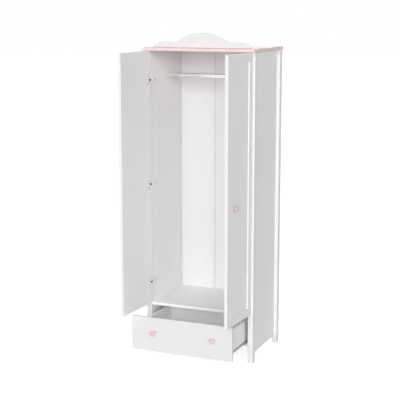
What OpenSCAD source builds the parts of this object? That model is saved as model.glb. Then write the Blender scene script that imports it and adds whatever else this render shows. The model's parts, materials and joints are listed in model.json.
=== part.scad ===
// Two-door wardrobe with a shaped crest board, a hanging rail and one overlay drawer.
// Shown as in use: both doors open and the drawer pulled out.
// Frame: X to the right, Y to the back, Z up, origin on the floor at the centre of the post footprint.
// Sizes are in millimetres.

/* [Carcass] */
// width over the outer faces of the posts
body_w = 746; // [640:1:900]
// depth over the outer faces of the posts
body_d = 510; // [440:1:620]
// height of the top face of the top board
body_h = 2000; // [1700:1:2200]
// post width across the front
post_w = 35; // [28:0.5:45]
// post depth from front to back
post_d = 42; // [40:0.5:55]
// side panel thickness
panel_t = 16; // [15:0.5:19]
// height of the lower edge of the side panels
panel_z = 53; // [40:1:80]
// top board thickness
top_t = 20; // [18:0.5:28]
// overhang of the top board at each side
top_side = 5; // [0:0.5:20]
// overhang of the top board at the front
top_front = 30; // [26:0.5:45]
// bottom shelf thickness
shelf_t = 18; // [16:0.5:22]
// height of the underside of the bottom shelf
shelf_z = 314; // [290:1:360]
// set-back of the shelf edge behind the post faces
shelf_set = 11; // [0:0.5:30]
// front stretcher thickness
stretch_t = 18; // [16:0.5:20]
// front stretcher depth
stretch_d = 70; // [60:1:110]
// height of the underside of the front stretcher
stretch_z = 100; // [90:1:100]
// lower back rail thickness
back_rail_t = 18; // [16:0.5:22]
// height of the top edge of the lower back rail
back_rail_top = 118; // [108:1:120]
// foot glide radius
glide_r = 12; // [9:0.5:15]
// foot glide height
glide_h = 3; // [2:0.5:6]
// foot glide nail radius
glide_nail_r = 1.25; // [1:0.05:1.75]
// foot glide nail length
glide_nail_l = 13; // [8:0.5:20]

/* [Back] */
// back panel thickness
back_t = 4; // [3:0.5:6]
// depth of the rebate in the back posts
rebate_d = 14; // [10:0.5:18]
// width of the rebate in the back posts
rebate_w = 10; // [8:0.5:14]
// distance of the panel joints from the middle
joint_x = 91.4; // [60:0.2:160]
// joint strip flange width
strip_w = 10; // [6:0.5:16]
// joint strip flange thickness
strip_t = 1; // [0.8:0.1:1.5]
// joint strip web thickness
strip_web = 2; // [1.5:0.1:3]

/* [Crest] */
// crest board thickness
crest_t = 18; // [15:0.5:22]
// set-back of the crest board behind the post faces
crest_set = 54; // [30:1:120]
// height of the crest at its middle
crest_h = 91.5; // [80:0.5:120]
// radius of the middle swell
crest_r = 290; // [270:1:340]
// distance from the middle where the swell turns over
crest_turn = 156; // [140:1:160]
// distance of the dip from the middle
crest_dip = 197; // [192:1:205]
// distance of the end swell from the middle
crest_bump = 238; // [230:1:265]
// rise of the end swell above the dip
crest_rise = 3; // [2:0.1:6]
// distance of the crest's ends from the outer faces of the posts
crest_in = 30; // [10:1:60]
// height of the crest at its ends
crest_end = 3; // [2:0.5:6]

/* [Hanging rail] */
// distance of the rail's middle below the top board
rod_drop = 169; // [80:1:300]
// distance of the rail behind the post faces
rod_y = 275; // [220:1:320]
// rail section height
rod_h = 30; // [25:0.5:34]
// rail section thickness
rod_t = 15; // [12:0.5:20]
// rail wall
rod_wall = 1; // [0.8:0.1:2]
// length of a holder's socket
socket_l = 14; // [8:0.5:20]
// socket wall
socket_wall = 2.8; // [2:0.1:4]
// holder base plate thickness
holder_t = 2; // [1.5:0.1:4]
// distance of the holder screws above and below the rail's middle
holder_screw_z = 7.5; // [6:0.5:9]

/* [Doors] */
// door thickness
door_t = 21; // [20:0.5:24]
// gap between a closed door and the post faces
door_gap = 3; // [2.5:0.1:4]
// gap between the two closed doors
door_mid = 3; // [3:0.1:6]
// how far a closed door stays short of the carcass side
door_side = 15; // [10:0.5:16]
// height of the lower edge of the doors
door_z = 328; // [325:0.5:345]
// gap under the top board
door_top = 2; // [1.5:0.1:4]
// depth of the sunk field in the outer face
field_d = 6; // [4:0.5:11]
// stile width beside the field
stile_w = 46; // [44:0.5:70]
// rail height above and below the field
door_rail_h = 53; // [40:0.5:90]
// opening angle of the left door as shown
left_open = 93.7; // [0:0.1:96]
// opening angle of the right door as shown
right_open = 86.8; // [0:0.1:96]

/* [Hinges] */
// distance of the lowest hinge above the lower door edge
hinge_rise = 147; // [90:1:240]
// distance of the middle hinge below the middle of the other two
hinge_off = 10; // [0:1:40]
// distance of the highest hinge below the upper door edge
hinge_drop = 183; // [90:1:240]
// distance of the cup centre from the door edge
cup_edge = 20; // [19.8:0.1:20.4]
// cup outer radius
cup_r = 17.5; // [17.3:0.1:17.8]
// cup wall
cup_wall = 0.8; // [0.6:0.05:0.9]
// cup depth in the door
cup_d = 16.6; // [16.4:0.1:16.8]
// cup flange thickness
cup_flange = 1.2; // [1:0.1:1.3]
// cup wing width
wing_w = 20; // [16:0.5:24]
// half height of the cup wings
wing_h = 31; // [29:0.5:34]
// distance of the cup screws above and below the cup centre
cup_screw_z = 24; // [23.5:0.5:26]
// distance of the pivot from the door edge
pivot_edge = 8; // [7.9:0.05:8.2]
// depth of the pivot behind the inner door face
pivot_d = 12; // [11.9:0.05:12.1]
// hinge pin radius
pin_r = 1.5; // [1.3:0.05:1.6]
// arm eye radius
eye_r = 3.2; // [2.8:0.1:3.3]
// half width of the arm
arm_h = 5; // [4:0.1:5.2]
// arm thickness
arm_t = 4; // [3:0.1:4.2]
// length of the arm behind the post faces
arm_l = 80; // [64:1:100]
// thickness of the arm cover
cover_t = 6; // [5:0.5:8]
// half height of the arm cover
cover_h = 8; // [6:0.5:9]
// set-back of the arm cover behind the post faces
cover_front = 16; // [12:0.5:24]
// set-back of the mounting plate behind the post faces
plate_front = 20; // [16:0.5:26]
// mounting plate length
plate_l = 40; // [34:0.5:50]
// half width of the plate wings, and the plate around each screw
plate_wing = 8; // [7:0.5:9]
// mounting plate thickness under the arm
plate_t = 5; // [4:0.5:6]
// mounting plate wing thickness
plate_wing_t = 2; // [1.5:0.1:3]
// distance of the plate screws behind the post faces
plate_screw_y = 36; // [30:0.5:37]
// distance of the plate screws above and below the arm
plate_screw_z = 16; // [15:0.5:20]

/* [Drawer] */
// drawer front thickness
front_t = 18; // [16:0.5:22]
// overlap of the drawer front on each post
front_lap = 5; // [0:0.5:20]
// height of the lower edge of the drawer front
front_z = 99; // [85:0.5:105]
// height of the top edge of the drawer front
front_top = 321; // [310:0.5:323]
// clear space between a drawer side and its batten
runner_space = 14; // [13.5:0.1:15]
// drawer side thickness
box_t = 16; // [14:0.5:18]
// height of the lower edge of the drawer sides
box_z = 121; // [120.5:0.1:122]
// height of the top edge of the drawer sides
box_top = 270; // [220:1:300]
// drawer side length
box_l = 485; // [380:1:488]
// drawer back thickness
box_back_t = 12; // [10:0.5:16]
// drop of the drawer back below the sides
box_back_drop = 8; // [0:0.5:30]
// drawer bottom thickness
floor_t = 3.8; // [3:0.1:5]
// height of the bottom's groove above the lower edge of the sides
floor_up = 10; // [8:0.5:16]
// groove depth
groove_d = 6; // [4:0.5:8]
// how far the drawer is pulled out as shown
drawer_out = 266; // [0:1:326]

/* [Runners] */
// batten thickness
batten_t = 16; // [15:0.5:16.5]
// height of the lower edge of the battens
batten_z = 121; // [119:0.5:122]
// height of the top edge of the battens
batten_top = 161; // [150:0.5:180]
// runner sheet thickness
sheet_t = 1.5; // [1:0.1:1.6]
// width of the sliding flange
rib_w = 7.5; // [6:0.1:8]
// height of the sliding flange above the lower edge of the drawer sides
rib_up = 6.5; // [6:0.1:7]
// height of the drawer runner above the lower edge of the sides
runner_h = 17; // [16.5:0.5:24]
// width of the runner's lip under the drawer side
lip_w = 12; // [6:0.5:14]

/* [Knobs] */
// head radius of the drawer knobs
knob_r = 18; // [14:0.5:24]
// head radius of the door knobs
door_knob_r = 23.5; // [18:0.5:28]
// knob projection
knob_h = 36; // [30:0.5:42]
// knob rim radius
knob_rim = 3; // [2:0.5:4]
// rise of the knob's domed face above its rim
knob_dome = 2.5; // [1.5:0.5:6]
// length of the flare under the knob head
knob_flare = 8; // [5:0.5:10]
// knob neck radius
knob_neck = 5; // [4.5:0.5:8]
// knob base radius
knob_base = 7.5; // [7:0.5:12]
// knob base height
knob_base_h = 2.5; // [2:0.5:5]
// distance of a door knob from the free door edge
door_knob_x = 90; // [76:1:120]
// height of the door knobs above the lower door edge
door_knob_up = 735; // [600:1:900]
// distance of the left drawer knob from the middle
drawer_knob_left = 182; // [120:1:240]
// distance of the right drawer knob from the middle
drawer_knob_right = 222; // [120:1:240]
// height of the drawer knobs
drawer_knob_z = 226; // [180:1:250]

/* [Fixings] */
// dowel radius
dowel_r = 4; // [3:0.5:4.5]
// dowel length
dowel_l = 40; // [30:1:44]
// depth of the dowels in the drawer front and of the crest dowels in the top
dowel_d = 12; // [8:0.5:14]
// crest dowel length
crest_dowel_l = 30; // [24:0.5:32]
// distance of the top dowels of the side panels from the front and the back
panel_dowel_in = 150; // [100:1:200]
// distance of the cams from the front and the back
cam_y = 105; // [80:1:160]
// depth of the dowels in the top board
dowel_top = 14; // [8:0.5:16]
// thin dowel radius for the drawer back
thin_r = 3; // [2:0.5:3.5]
// thin dowel length
thin_l = 24; // [16:1:26]
// cam housing radius
cam_r = 7.4; // [6:0.1:8]
// cam housing height
cam_h = 14; // [12:0.5:15]
// distance of the cams from the shelf ends
cam_in = 34; // [24:0.5:40]
// cam bolt radius
bolt_r = 3; // [2.5:0.1:3.5]
// screw shank radius
screw_r = 1.75; // [1.4:0.05:2]
// screw head radius
head_r = 3.5; // [2.8:0.1:3.8]
// screw head height
head_h = 1.5; // [1:0.1:1.6]
// back screw and cup screw length
short_l = 12; // [9:0.5:14]
// length of the other wood screws
long_l = 16; // [12:0.5:17]
// knob screw radius
knob_screw_r = 2; // [1.5:0.1:2.5]
// depth of a knob screw in its knob
knob_screw_d = 14; // [8:0.5:20]
// depth of a door knob's headless screw in the door
knob_stud_d = 8; // [5:0.5:8.5]

/* [Fits] */
// radial clearance of dowels, screws and bolts in their holes
hole_c = 0.05; // [0.02:0.01:0.2]
// radial running clearance of the hinge pins
pin_c = 0.05; // [0.02:0.01:0.1]
// clearance above and below the sliding flange
slide_c = 0.3; // [0.2:0.05:0.6]
// clearance of panels in grooves and sockets
groove_c = 0.1; // [0.05:0.05:0.3]

/* [Hidden] */
$fn = 48;
eps = 0.01;
hw = body_w / 2;
inner = hw - post_w;
top_under = body_h - top_t;
back_y = body_d - rebate_d;
door_in = -door_gap;
door_out = -door_gap - door_t;
door_edge = hw - door_side;
door_free = door_mid / 2;
door_h_top = top_under - door_top;
cup_x = door_edge - cup_edge;
pivot_x = door_edge - pivot_edge;
pivot_y = door_in - pivot_d;
cup_floor = door_in - cup_d + 1;
arm_x = inner - plate_t - arm_t;
cover_x = inner - plate_t - cover_t;
crest_half = hw - crest_in;
rod_z = top_under - rod_drop;
hinge_low = door_z + hinge_rise;
hinge_high = door_h_top - hinge_drop;
hinge_mid = (hinge_low + hinge_high) / 2 - hinge_off;
hinge_zs = [hinge_low, hinge_mid, hinge_high];
box_w = 2 * (inner - batten_t - runner_space);
front_w = 2 * (inner + front_lap);
door_knob_z = door_z + door_knob_up;
drawer_knob_xs = [-drawer_knob_left, drawer_knob_right];
dowel_x = inner + panel_t / 2;
side_dowel_zs = [body_h * 0.075, body_h * 0.4, body_h * 0.7, body_h * 0.95];
panel_dowel_ys = [panel_dowel_in, body_d - panel_dowel_in];
stretch_dowel_ys = [post_d + stretch_d * 0.3, post_d + stretch_d * 0.75];
stretch_dowel_z = stretch_z + stretch_t / 2;
back_rail_y = back_y - back_rail_t;
back_dowel_zs = [panel_z + 4 * dowel_r, back_rail_top - 4 * dowel_r];
crest_dowel_xs = [-crest_bump, -crest_bump / 3, crest_bump / 3, crest_bump];
crest_mid = crest_set + crest_t / 2;
shelf_mid = shelf_z + shelf_t / 2;
cam_ys = [cam_y, body_d - cam_y];
bolt_l = cam_in - 2 + panel_t - 4;
batten_screw_ys = [body_d * 0.18, body_d / 2, body_d * 0.82];
batten_screw_z = batten_top - 9;
back_edge = inner + rebate_w - 0.5;
back_screw_x = inner + rebate_w / 2;
back_post_zs = [body_h * 0.125, body_h * 0.31, body_h * 0.5, body_h * 0.625, body_h * 0.85];
back_side_x = (joint_x + back_edge) / 2;
back_mid_xs = [-back_side_x, 0, back_side_x];
back_rail_mid = (panel_z + back_rail_top) / 2;
side_z0 = glide_h;
rib_z = box_z + rib_up;
rib_x = box_w / 2 + sheet_t;
web_x = inner - batten_t - sheet_t;
runner_screw_ys = [body_d * 0.14, body_d * 0.46, body_d * 0.86];
runner_screw_z = rib_z + sheet_t + slide_c + sheet_t + head_r + 1.7;
box_back_y = box_l - door_gap;
drawer_screw_ys = [box_l * 0.12, box_l * 0.5, box_l * 0.88];
drawer_screw_z = box_z + runner_h - 2.5;
front_y = -door_gap - front_t;
box_mid = box_w / 2 - box_t / 2;
box_dowel_zs = [box_z + 10 * dowel_r, box_top - 10 * dowel_r];
floor_z = box_z + floor_up;
back_low = floor_z + floor_t + groove_c * 2;
field_y = door_out + field_d;
knob_door_x = door_free + door_knob_x;
crest_ang = asin(crest_turn / crest_r);
crest_z1 = crest_h - crest_r * (1 - cos(crest_ang));
crest_r2 = (crest_dip - crest_turn) / sin(crest_ang);
crest_z2 = crest_z1 - crest_r2 * (1 - cos(crest_ang));
crest_b = 2 * atan(crest_rise / (crest_bump - crest_dip));
crest_r3 = (crest_bump - crest_dip) / (2 * sin(crest_b));
crest_z3 = crest_z2 + crest_rise;
crest_run = crest_half - crest_bump;
crest_fall = crest_z3 - crest_end;
crest_r4 = (crest_run * crest_run + crest_fall * crest_fall) / (2 * crest_fall);
crest_e = asin(crest_run / crest_r4);
white = [0.95, 0.95, 0.94];
pink = [0.96, 0.78, 0.76];
steel = [0.72, 0.73, 0.75];
beech = [0.82, 0.68, 0.5];

// a board between two corners
module board(x0, x1, y0, y1, z0, z1) {
  translate([x0, y0, z0])
    cube([x1 - x0, y1 - y0, z1 - z0]);
}

// round bars along each axis, from a start point
module bar_x(x, y, z, r, l) {
  translate([x, y, z])
    rotate([0, 90, 0])
      cylinder(r = r, h = l);
}

module bar_y(x, y, z, r, l) {
  translate([x, y, z])
    rotate([-90, 0, 0])
      cylinder(r = r, h = l);
}

module bar_z(x, y, z, r, l) {
  translate([x, y, z])
    cylinder(r = r, h = l);
}

// the carcass frame, measured back from the post faces
module carcass() {
  translate([0, -body_d / 2, 0])
    children();
}

module both() {
  children();
  mirror([1, 0, 0])
    children();
}

module right_door() {
  carcass()
    translate([pivot_x, pivot_y, 0])
      rotate([0, 0, right_open])
        translate([-pivot_x, -pivot_y, 0])
          children();
}

module left_door() {
  carcass()
    translate([-pivot_x, pivot_y, 0])
      rotate([0, 0, -left_open])
        translate([pivot_x, -pivot_y, 0])
          mirror([1, 0, 0])
            children();
}

module drawer() {
  carcass()
    translate([0, -drawer_out, 0])
      children();
}

// posts

module post_foot_hole(y) {
  bar_z(inner + post_w / 2, y, side_z0 - eps, glide_nail_r + hole_c, glide_nail_l + 0.5);
}

module post_top_hole(y) {
  bar_z(inner + post_w / 2, y, top_under + dowel_top - dowel_l - 0.5, dowel_r + hole_c, dowel_l);
}

module front_post() {
  difference() {
    board(inner, hw, 0, post_d, side_z0, top_under);
    post_foot_hole(post_d / 2);
    post_top_hole(post_d / 2);
    for (z = side_dowel_zs)
      bar_y(dowel_x, post_d - dowel_l / 2 - 0.5, z, dowel_r + hole_c, dowel_l);
    for (z = hinge_zs)
      for (s = [-1, 1])
        bar_x(inner - eps, plate_screw_y, z + s * plate_screw_z, screw_r + hole_c, long_l);
  }
}

module back_post() {
  difference() {
    board(inner, hw, body_d - post_d, body_d, side_z0, top_under);
    board(inner - 1, inner + rebate_w, back_y, body_d + 1, 0, body_h);
    post_foot_hole(body_d - post_d / 2);
    post_top_hole(body_d - post_d / 2);
    for (z = side_dowel_zs)
      bar_y(dowel_x, body_d - post_d - dowel_l / 2, z, dowel_r + hole_c, dowel_l + 0.5);
    for (z = back_dowel_zs)
      bar_x(inner - eps, back_y - back_rail_t / 2, z, dowel_r + hole_c, dowel_l / 2 + 0.5);
    for (z = back_post_zs)
      bar_y(back_screw_x, back_y - short_l, z, screw_r + hole_c, short_l + 1);
  }
}

module post_front_right() {
  color(white)
    carcass()
      front_post();
}

module post_front_left() {
  color(white)
    carcass()
      mirror([1, 0, 0])
        front_post();
}

module post_back_right() {
  color(white)
    carcass()
      back_post();
}

module post_back_left() {
  color(white)
    carcass()
      mirror([1, 0, 0])
        back_post();
}

// side panels

module side_panel() {
  difference() {
    board(inner, inner + panel_t, post_d, body_d - post_d, panel_z, top_under);
    for (z = side_dowel_zs) {
      bar_y(dowel_x, post_d - 1, z, dowel_r + hole_c, dowel_l / 2 + 1.5);
      bar_y(dowel_x, body_d - post_d - dowel_l / 2 - 0.5, z, dowel_r + hole_c, dowel_l);
    }
    for (y = panel_dowel_ys)
      bar_z(dowel_x, y, top_under + dowel_top - dowel_l - 0.5, dowel_r + hole_c, dowel_l);
    for (y = stretch_dowel_ys)
      bar_x(inner - 1, y, stretch_dowel_z, dowel_r + hole_c, panel_t - 4 + 1.5);
    for (y = cam_ys)
      bar_x(inner - 1, y, shelf_mid, bolt_r + hole_c, panel_t - 4 + 1.5);
    for (y = batten_screw_ys)
      bar_x(inner - 1, y, batten_screw_z, screw_r + hole_c, panel_t - 3);
    for (s = [-1, 1])
      bar_x(inner - 1, rod_y, rod_z + s * holder_screw_z, screw_r + hole_c, panel_t - 2);
  }
}

module side_panel_right() {
  color(white)
    carcass()
      side_panel();
}

module side_panel_left() {
  color(white)
    carcass()
      mirror([1, 0, 0])
        side_panel();
}

// top and crest

module top_board() {
  color(pink)
    carcass()
      difference() {
        board(-hw - top_side, hw + top_side, -top_front, body_d, top_under, body_h);
        both() {
          for (y = [post_d / 2, body_d - post_d / 2])
            bar_z(inner + post_w / 2, y, top_under - 1, dowel_r + hole_c, dowel_top + 1.5);
          for (y = panel_dowel_ys)
            bar_z(dowel_x, y, top_under - 1, dowel_r + hole_c, dowel_top + 1.5);
        }
        for (x = crest_dowel_xs)
          bar_z(x, crest_mid, body_h - dowel_d - 0.5, dowel_r + hole_c, 2 * dowel_d);
      }
}

function arc(cx, cz, r, a0, a1, n) =
  [for (i = [1 : n]) [cx + r * cos(a0 + (a1 - a0) * i / n), cz + r * sin(a0 + (a1 - a0) * i / n)]];

function crest_right() = concat(
  arc(0, crest_h - crest_r, crest_r, 90, 90 - crest_ang, 14),
  arc(crest_dip, crest_z2 + crest_r2, crest_r2, 270 - crest_ang, 270, 10),
  arc(crest_dip, crest_z2 + crest_r3, crest_r3, 270, 270 + crest_b, 4),
  arc(crest_bump, crest_z3 - crest_r3, crest_r3, 90 + crest_b, 90, 4),
  arc(crest_bump, crest_z3 - crest_r4, crest_r4, 90, 90 - crest_e, 10),
  [[crest_half, 0]]
);

function flipped(p) = [for (i = [len(p) - 1 : -1 : 0]) [-p[i][0], p[i][1]]];

module crest_board() {
  color(white)
    carcass()
      difference() {
        translate([0, crest_set + crest_t, body_h])
          rotate([90, 0, 0])
            linear_extrude(height = crest_t)
              polygon(concat(flipped(crest_right()), [[0, crest_h]], crest_right()));
        for (x = crest_dowel_xs)
          bar_z(x, crest_mid, body_h - dowel_d, dowel_r + hole_c, crest_dowel_l + 0.5);
      }
}

// shelf, stretcher and back rail

module strip_notches(z0, z1) {
  both()
    board(joint_x - strip_w / 2 - groove_c, joint_x + strip_w / 2 + groove_c,
          back_y - strip_t - groove_c, back_y + 1, z0, z1);
}

module bottom_shelf() {
  color(white)
    carcass()
      difference() {
        board(-inner, inner, shelf_set, back_y, shelf_z, shelf_z + shelf_t);
        strip_notches(shelf_z - 1, shelf_z + shelf_t + 1);
        both()
          for (y = cam_ys) {
            bar_z(inner - cam_in, y, shelf_z - 1, cam_r + hole_c, cam_h + 1.2);
            bar_x(inner - cam_in, y, shelf_mid, bolt_r + hole_c, cam_in + 1);
          }
        for (x = back_mid_xs)
          bar_y(x, back_y - short_l, shelf_mid, screw_r + hole_c, short_l + 1);
      }
}

module front_stretcher() {
  color(white)
    carcass()
      difference() {
        board(-inner, inner, post_d, post_d + stretch_d, stretch_z, stretch_z + stretch_t);
        both()
          for (y = stretch_dowel_ys)
            bar_x(inner - dowel_l + panel_t - 4.5, y, stretch_dowel_z, dowel_r + hole_c, dowel_l);
      }
}

module back_rail() {
  color(white)
    carcass()
      difference() {
        board(-inner, inner, back_rail_y, back_y, panel_z, back_rail_top);
        strip_notches(panel_z - 1, back_rail_top + 1);
        both()
          for (z = back_dowel_zs)
            bar_x(inner - dowel_l / 2 - 0.5, back_y - back_rail_t / 2, z, dowel_r + hole_c, dowel_l);
        for (x = back_mid_xs)
          bar_y(x, back_y - short_l, back_rail_mid, screw_r + hole_c, short_l + 1);
      }
}

// back panels, joint strips and screws

module back_holes() {
  both()
    for (z = back_post_zs)
      bar_y(back_screw_x, back_y - 1, z, screw_r + hole_c, back_t + 2);
  for (x = back_mid_xs) {
    bar_y(x, back_y - 1, shelf_mid, screw_r + hole_c, back_t + 2);
    bar_y(x, back_y - 1, back_rail_mid, screw_r + hole_c, back_t + 2);
  }
}

module back_side() {
  difference() {
    board(joint_x + strip_web / 2 + groove_c, back_edge, back_y, back_y + back_t, panel_z, top_under - 0.5);
    back_holes();
  }
}

module back_panel_right() {
  color(white)
    carcass()
      back_side();
}

module back_panel_left() {
  color(white)
    carcass()
      mirror([1, 0, 0])
        back_side();
}

module back_panel_middle() {
  color(white)
    carcass()
      difference() {
        board(-joint_x + strip_web / 2 + groove_c, joint_x - strip_web / 2 - groove_c,
              back_y, back_y + back_t, panel_z, top_under - 0.5);
        back_holes();
      }
}

module joint_strip() {
  board(joint_x - strip_w / 2, joint_x + strip_w / 2, back_y - strip_t, back_y, panel_z, top_under - 1);
  board(joint_x - strip_web / 2, joint_x + strip_web / 2,
        back_y - strip_t / 2, back_y + back_t + strip_t / 2, panel_z, top_under - 1);
  board(joint_x - strip_w / 2, joint_x + strip_w / 2,
        back_y + back_t, back_y + back_t + strip_t, panel_z, top_under - 1);
}

module back_joint_strips() {
  color(white)
    carcass()
      both()
        joint_strip();
}

module back_screw(x, z) {
  bar_y(x, back_y - short_l + 0.5, z, screw_r, short_l + back_t);
  bar_y(x, back_y + back_t, z, head_r, head_h);
}

module back_screws() {
  color(steel)
    carcass() {
      both()
        for (z = back_post_zs)
          back_screw(back_screw_x, z);
      for (x = back_mid_xs) {
        back_screw(x, shelf_mid);
        back_screw(x, back_rail_mid);
      }
    }
}

// hanging rail and its holders

module oval(h, w) {
  square([h - w, w], center = true);
  translate([(h - w) / 2, 0])
    circle(d = w);
  translate([-(h - w) / 2, 0])
    circle(d = w);
}

module along_x(x, l) {
  translate([x, rod_y, rod_z])
    rotate([0, 90, 0])
      linear_extrude(height = l)
        children();
}

module hanging_rail() {
  color(steel)
    carcass()
      along_x(-inner + holder_t + head_h + 0.5, 2 * (inner - holder_t - head_h - 0.5))
        difference() {
          oval(rod_h, rod_t);
          oval(rod_h - 2 * rod_wall, rod_t - 2 * rod_wall);
        }
}

module holder() {
  difference() {
    union() {
      along_x(inner - holder_t, holder_t)
        oval(rod_h + 2 * socket_wall, rod_t + 2 * socket_wall);
      along_x(inner - holder_t - socket_l, socket_l)
        oval(rod_h + 2 * socket_wall, rod_t + 2 * socket_wall);
    }
    along_x(inner - holder_t - socket_l - 1, socket_l + 1)
      oval(rod_h + 2 * groove_c, rod_t + 2 * groove_c);
    for (s = [-1, 1])
      bar_x(inner - holder_t - 1, rod_y, rod_z + s * holder_screw_z, screw_r + hole_c, holder_t + 2);
  }
}

module rail_holders() {
  color(steel)
    carcass()
      both()
        holder();
}

module rail_holder_screws() {
  color(steel)
    carcass()
      both()
        for (s = [-1, 1]) {
          bar_x(inner - holder_t - head_h, rod_y, rod_z + s * holder_screw_z, head_r, head_h);
          bar_x(inner - holder_t, rod_y, rod_z + s * holder_screw_z, screw_r, holder_t + short_l);
        }
}

// hinges, carcass side

module hinge_plates() {
  difference() {
    for (z = hinge_zs) {
      board(inner - plate_t, inner, plate_front, plate_front + plate_l, z - cover_h - 1, z + cover_h + 1);
      board(inner - plate_wing_t, inner, plate_screw_y - plate_wing, plate_screw_y + plate_wing,
            z - plate_screw_z - plate_wing, z + plate_screw_z + plate_wing);
    }
    for (z = hinge_zs)
      for (s = [-1, 1])
        bar_x(inner - plate_t - 1, plate_screw_y, z + s * plate_screw_z, screw_r + hole_c, plate_t + 2);
  }
}

module hinge_plates_right() {
  color(steel)
    carcass()
      hinge_plates();
}

module hinge_plates_left() {
  color(steel)
    carcass()
      mirror([1, 0, 0])
        hinge_plates();
}

module plate_screws() {
  color(steel)
    carcass()
      both()
        for (z = hinge_zs)
          for (s = [-1, 1]) {
            bar_x(inner - plate_wing_t - head_h, plate_screw_y, z + s * plate_screw_z, head_r, head_h);
            bar_x(inner - plate_wing_t, plate_screw_y, z + s * plate_screw_z, screw_r,
                  plate_wing_t + long_l - 0.5);
          }
}

module hinge_arms() {
  for (z = hinge_zs)
    difference() {
      union() {
        bar_z(pivot_x, pivot_y, z - arm_h, eye_r, 2 * arm_h);
        board(arm_x, pivot_x, pivot_y - arm_t / 2, pivot_y + arm_t / 2, z - arm_h, z + arm_h);
        board(arm_x, arm_x + arm_t, pivot_y - arm_t / 2, arm_l, z - arm_h, z + arm_h);
        board(cover_x, inner - plate_t, cover_front, arm_l, z - cover_h, z + cover_h);
      }
      bar_z(pivot_x, pivot_y, z - arm_h - 1, pin_r + pin_c, 2 * arm_h + 2);
    }
}

module hinge_arms_right() {
  color(steel)
    carcass()
      hinge_arms();
}

module hinge_arms_left() {
  color(steel)
    carcass()
      mirror([1, 0, 0])
        hinge_arms();
}

// feet, dowels and cams

module foot_glides() {
  color(white)
    carcass()
      both()
        for (y = [post_d / 2, body_d - post_d / 2]) {
          bar_z(inner + post_w / 2, y, 0, glide_r, glide_h);
          bar_z(inner + post_w / 2, y, glide_h - eps, glide_nail_r, glide_nail_l);
        }
}

module side_dowels() {
  color(beech)
    carcass()
      both()
        for (z = side_dowel_zs)
          for (y = [post_d, body_d - post_d])
            bar_y(dowel_x, y - dowel_l / 2, z, dowel_r, dowel_l);
}

module rail_dowels() {
  color(beech)
    carcass()
      both() {
        for (y = stretch_dowel_ys)
          bar_x(inner - dowel_l + panel_t - 4, y, stretch_dowel_z, dowel_r, dowel_l);
        for (z = back_dowel_zs)
          bar_x(inner - dowel_l / 2, back_y - back_rail_t / 2, z, dowel_r, dowel_l);
      }
}

module top_dowels() {
  color(beech)
    carcass()
      both() {
        for (y = [post_d / 2, body_d - post_d / 2])
          bar_z(inner + post_w / 2, y, top_under + dowel_top - dowel_l, dowel_r, dowel_l);
        for (y = panel_dowel_ys)
          bar_z(dowel_x, y, top_under + dowel_top - dowel_l, dowel_r, dowel_l);
      }
}

module crest_dowels() {
  color(beech)
    carcass()
      for (x = crest_dowel_xs)
        bar_z(x, crest_mid, body_h - dowel_d, dowel_r, crest_dowel_l);
}

module cam_housings() {
  color(steel)
    carcass()
      both()
        for (y = cam_ys)
          difference() {
            bar_z(inner - cam_in, y, shelf_z, cam_r, cam_h);
            bar_x(inner - cam_in + 1, y, shelf_mid, bolt_r + hole_c, cam_in);
          }
}

module cam_bolts() {
  color(steel)
    carcass()
      both()
        for (y = cam_ys)
          bar_x(inner - cam_in + 2, y, shelf_mid, bolt_r, bolt_l);
}

// runners, carcass side

module batten() {
  difference() {
    board(inner - batten_t, inner, post_d, body_d - post_d, batten_z, batten_top);
    for (y = batten_screw_ys) {
      bar_x(inner - batten_t - 1, y, batten_screw_z, screw_r + hole_c, batten_t + 2);
      bar_x(inner - batten_t - 1, y, batten_screw_z, head_r + hole_c, head_h + 1);
    }
    for (y = runner_screw_ys)
      bar_x(inner - batten_t - 1, y, runner_screw_z, screw_r + hole_c, short_l + 1.5);
  }
}

module runner_battens() {
  color(white)
    carcass()
      both()
        batten();
}

module batten_screws() {
  color(steel)
    carcass()
      both()
        for (y = batten_screw_ys) {
          bar_x(inner - batten_t, y, batten_screw_z, head_r, head_h);
          bar_x(inner - batten_t + head_h, y, batten_screw_z, screw_r, batten_t - head_h + panel_t - 5);
        }
}

module cabinet_runner() {
  difference() {
    union() {
      board(web_x, web_x + sheet_t, post_d, body_d - post_d,
            rib_z - slide_c - sheet_t, runner_screw_z + head_r + 1);
      board(rib_x + sheet_t, web_x + eps, post_d, body_d - post_d,
            rib_z - slide_c - sheet_t, rib_z - slide_c);
      board(rib_x + sheet_t, web_x + eps, post_d, body_d - post_d,
            rib_z + sheet_t + slide_c, rib_z + 2 * sheet_t + slide_c);
    }
    for (y = runner_screw_ys)
      bar_x(web_x - 1, y, runner_screw_z, screw_r + hole_c, sheet_t + 2);
  }
}

module cabinet_runner_right() {
  color(steel)
    carcass()
      cabinet_runner();
}

module cabinet_runner_left() {
  color(steel)
    carcass()
      mirror([1, 0, 0])
        cabinet_runner();
}

module cabinet_runner_screws() {
  color(steel)
    carcass()
      both()
        for (y = runner_screw_ys) {
          bar_x(web_x - head_h, y, runner_screw_z, head_r, head_h);
          bar_x(web_x, y, runner_screw_z, screw_r, sheet_t + short_l);
        }
}

// doors, drawn closed and turned about their hinge pins

module door_leaf() {
  difference() {
    board(door_free, door_edge, door_out, door_in, door_z, door_h_top);
    board(door_free + stile_w, door_edge - stile_w, door_out - 1, field_y,
          door_z + door_rail_h, door_h_top - door_rail_h);
    for (z = hinge_zs) {
      bar_y(cup_x, door_in - cup_d - 0.1, z, cup_r + 2 * hole_c, cup_d + 1);
      for (s = [-1, 1])
        bar_y(cup_x, door_in - short_l, z + s * cup_screw_z, screw_r + hole_c, short_l + 1);
    }
    bar_y(knob_door_x, field_y - 1, door_knob_z, knob_screw_r + hole_c, knob_stud_d + 1.5);
  }
}

module door_leaf_right() {
  color(white)
    right_door()
      door_leaf();
}

module door_leaf_left() {
  color(white)
    left_door()
      door_leaf();
}

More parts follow.
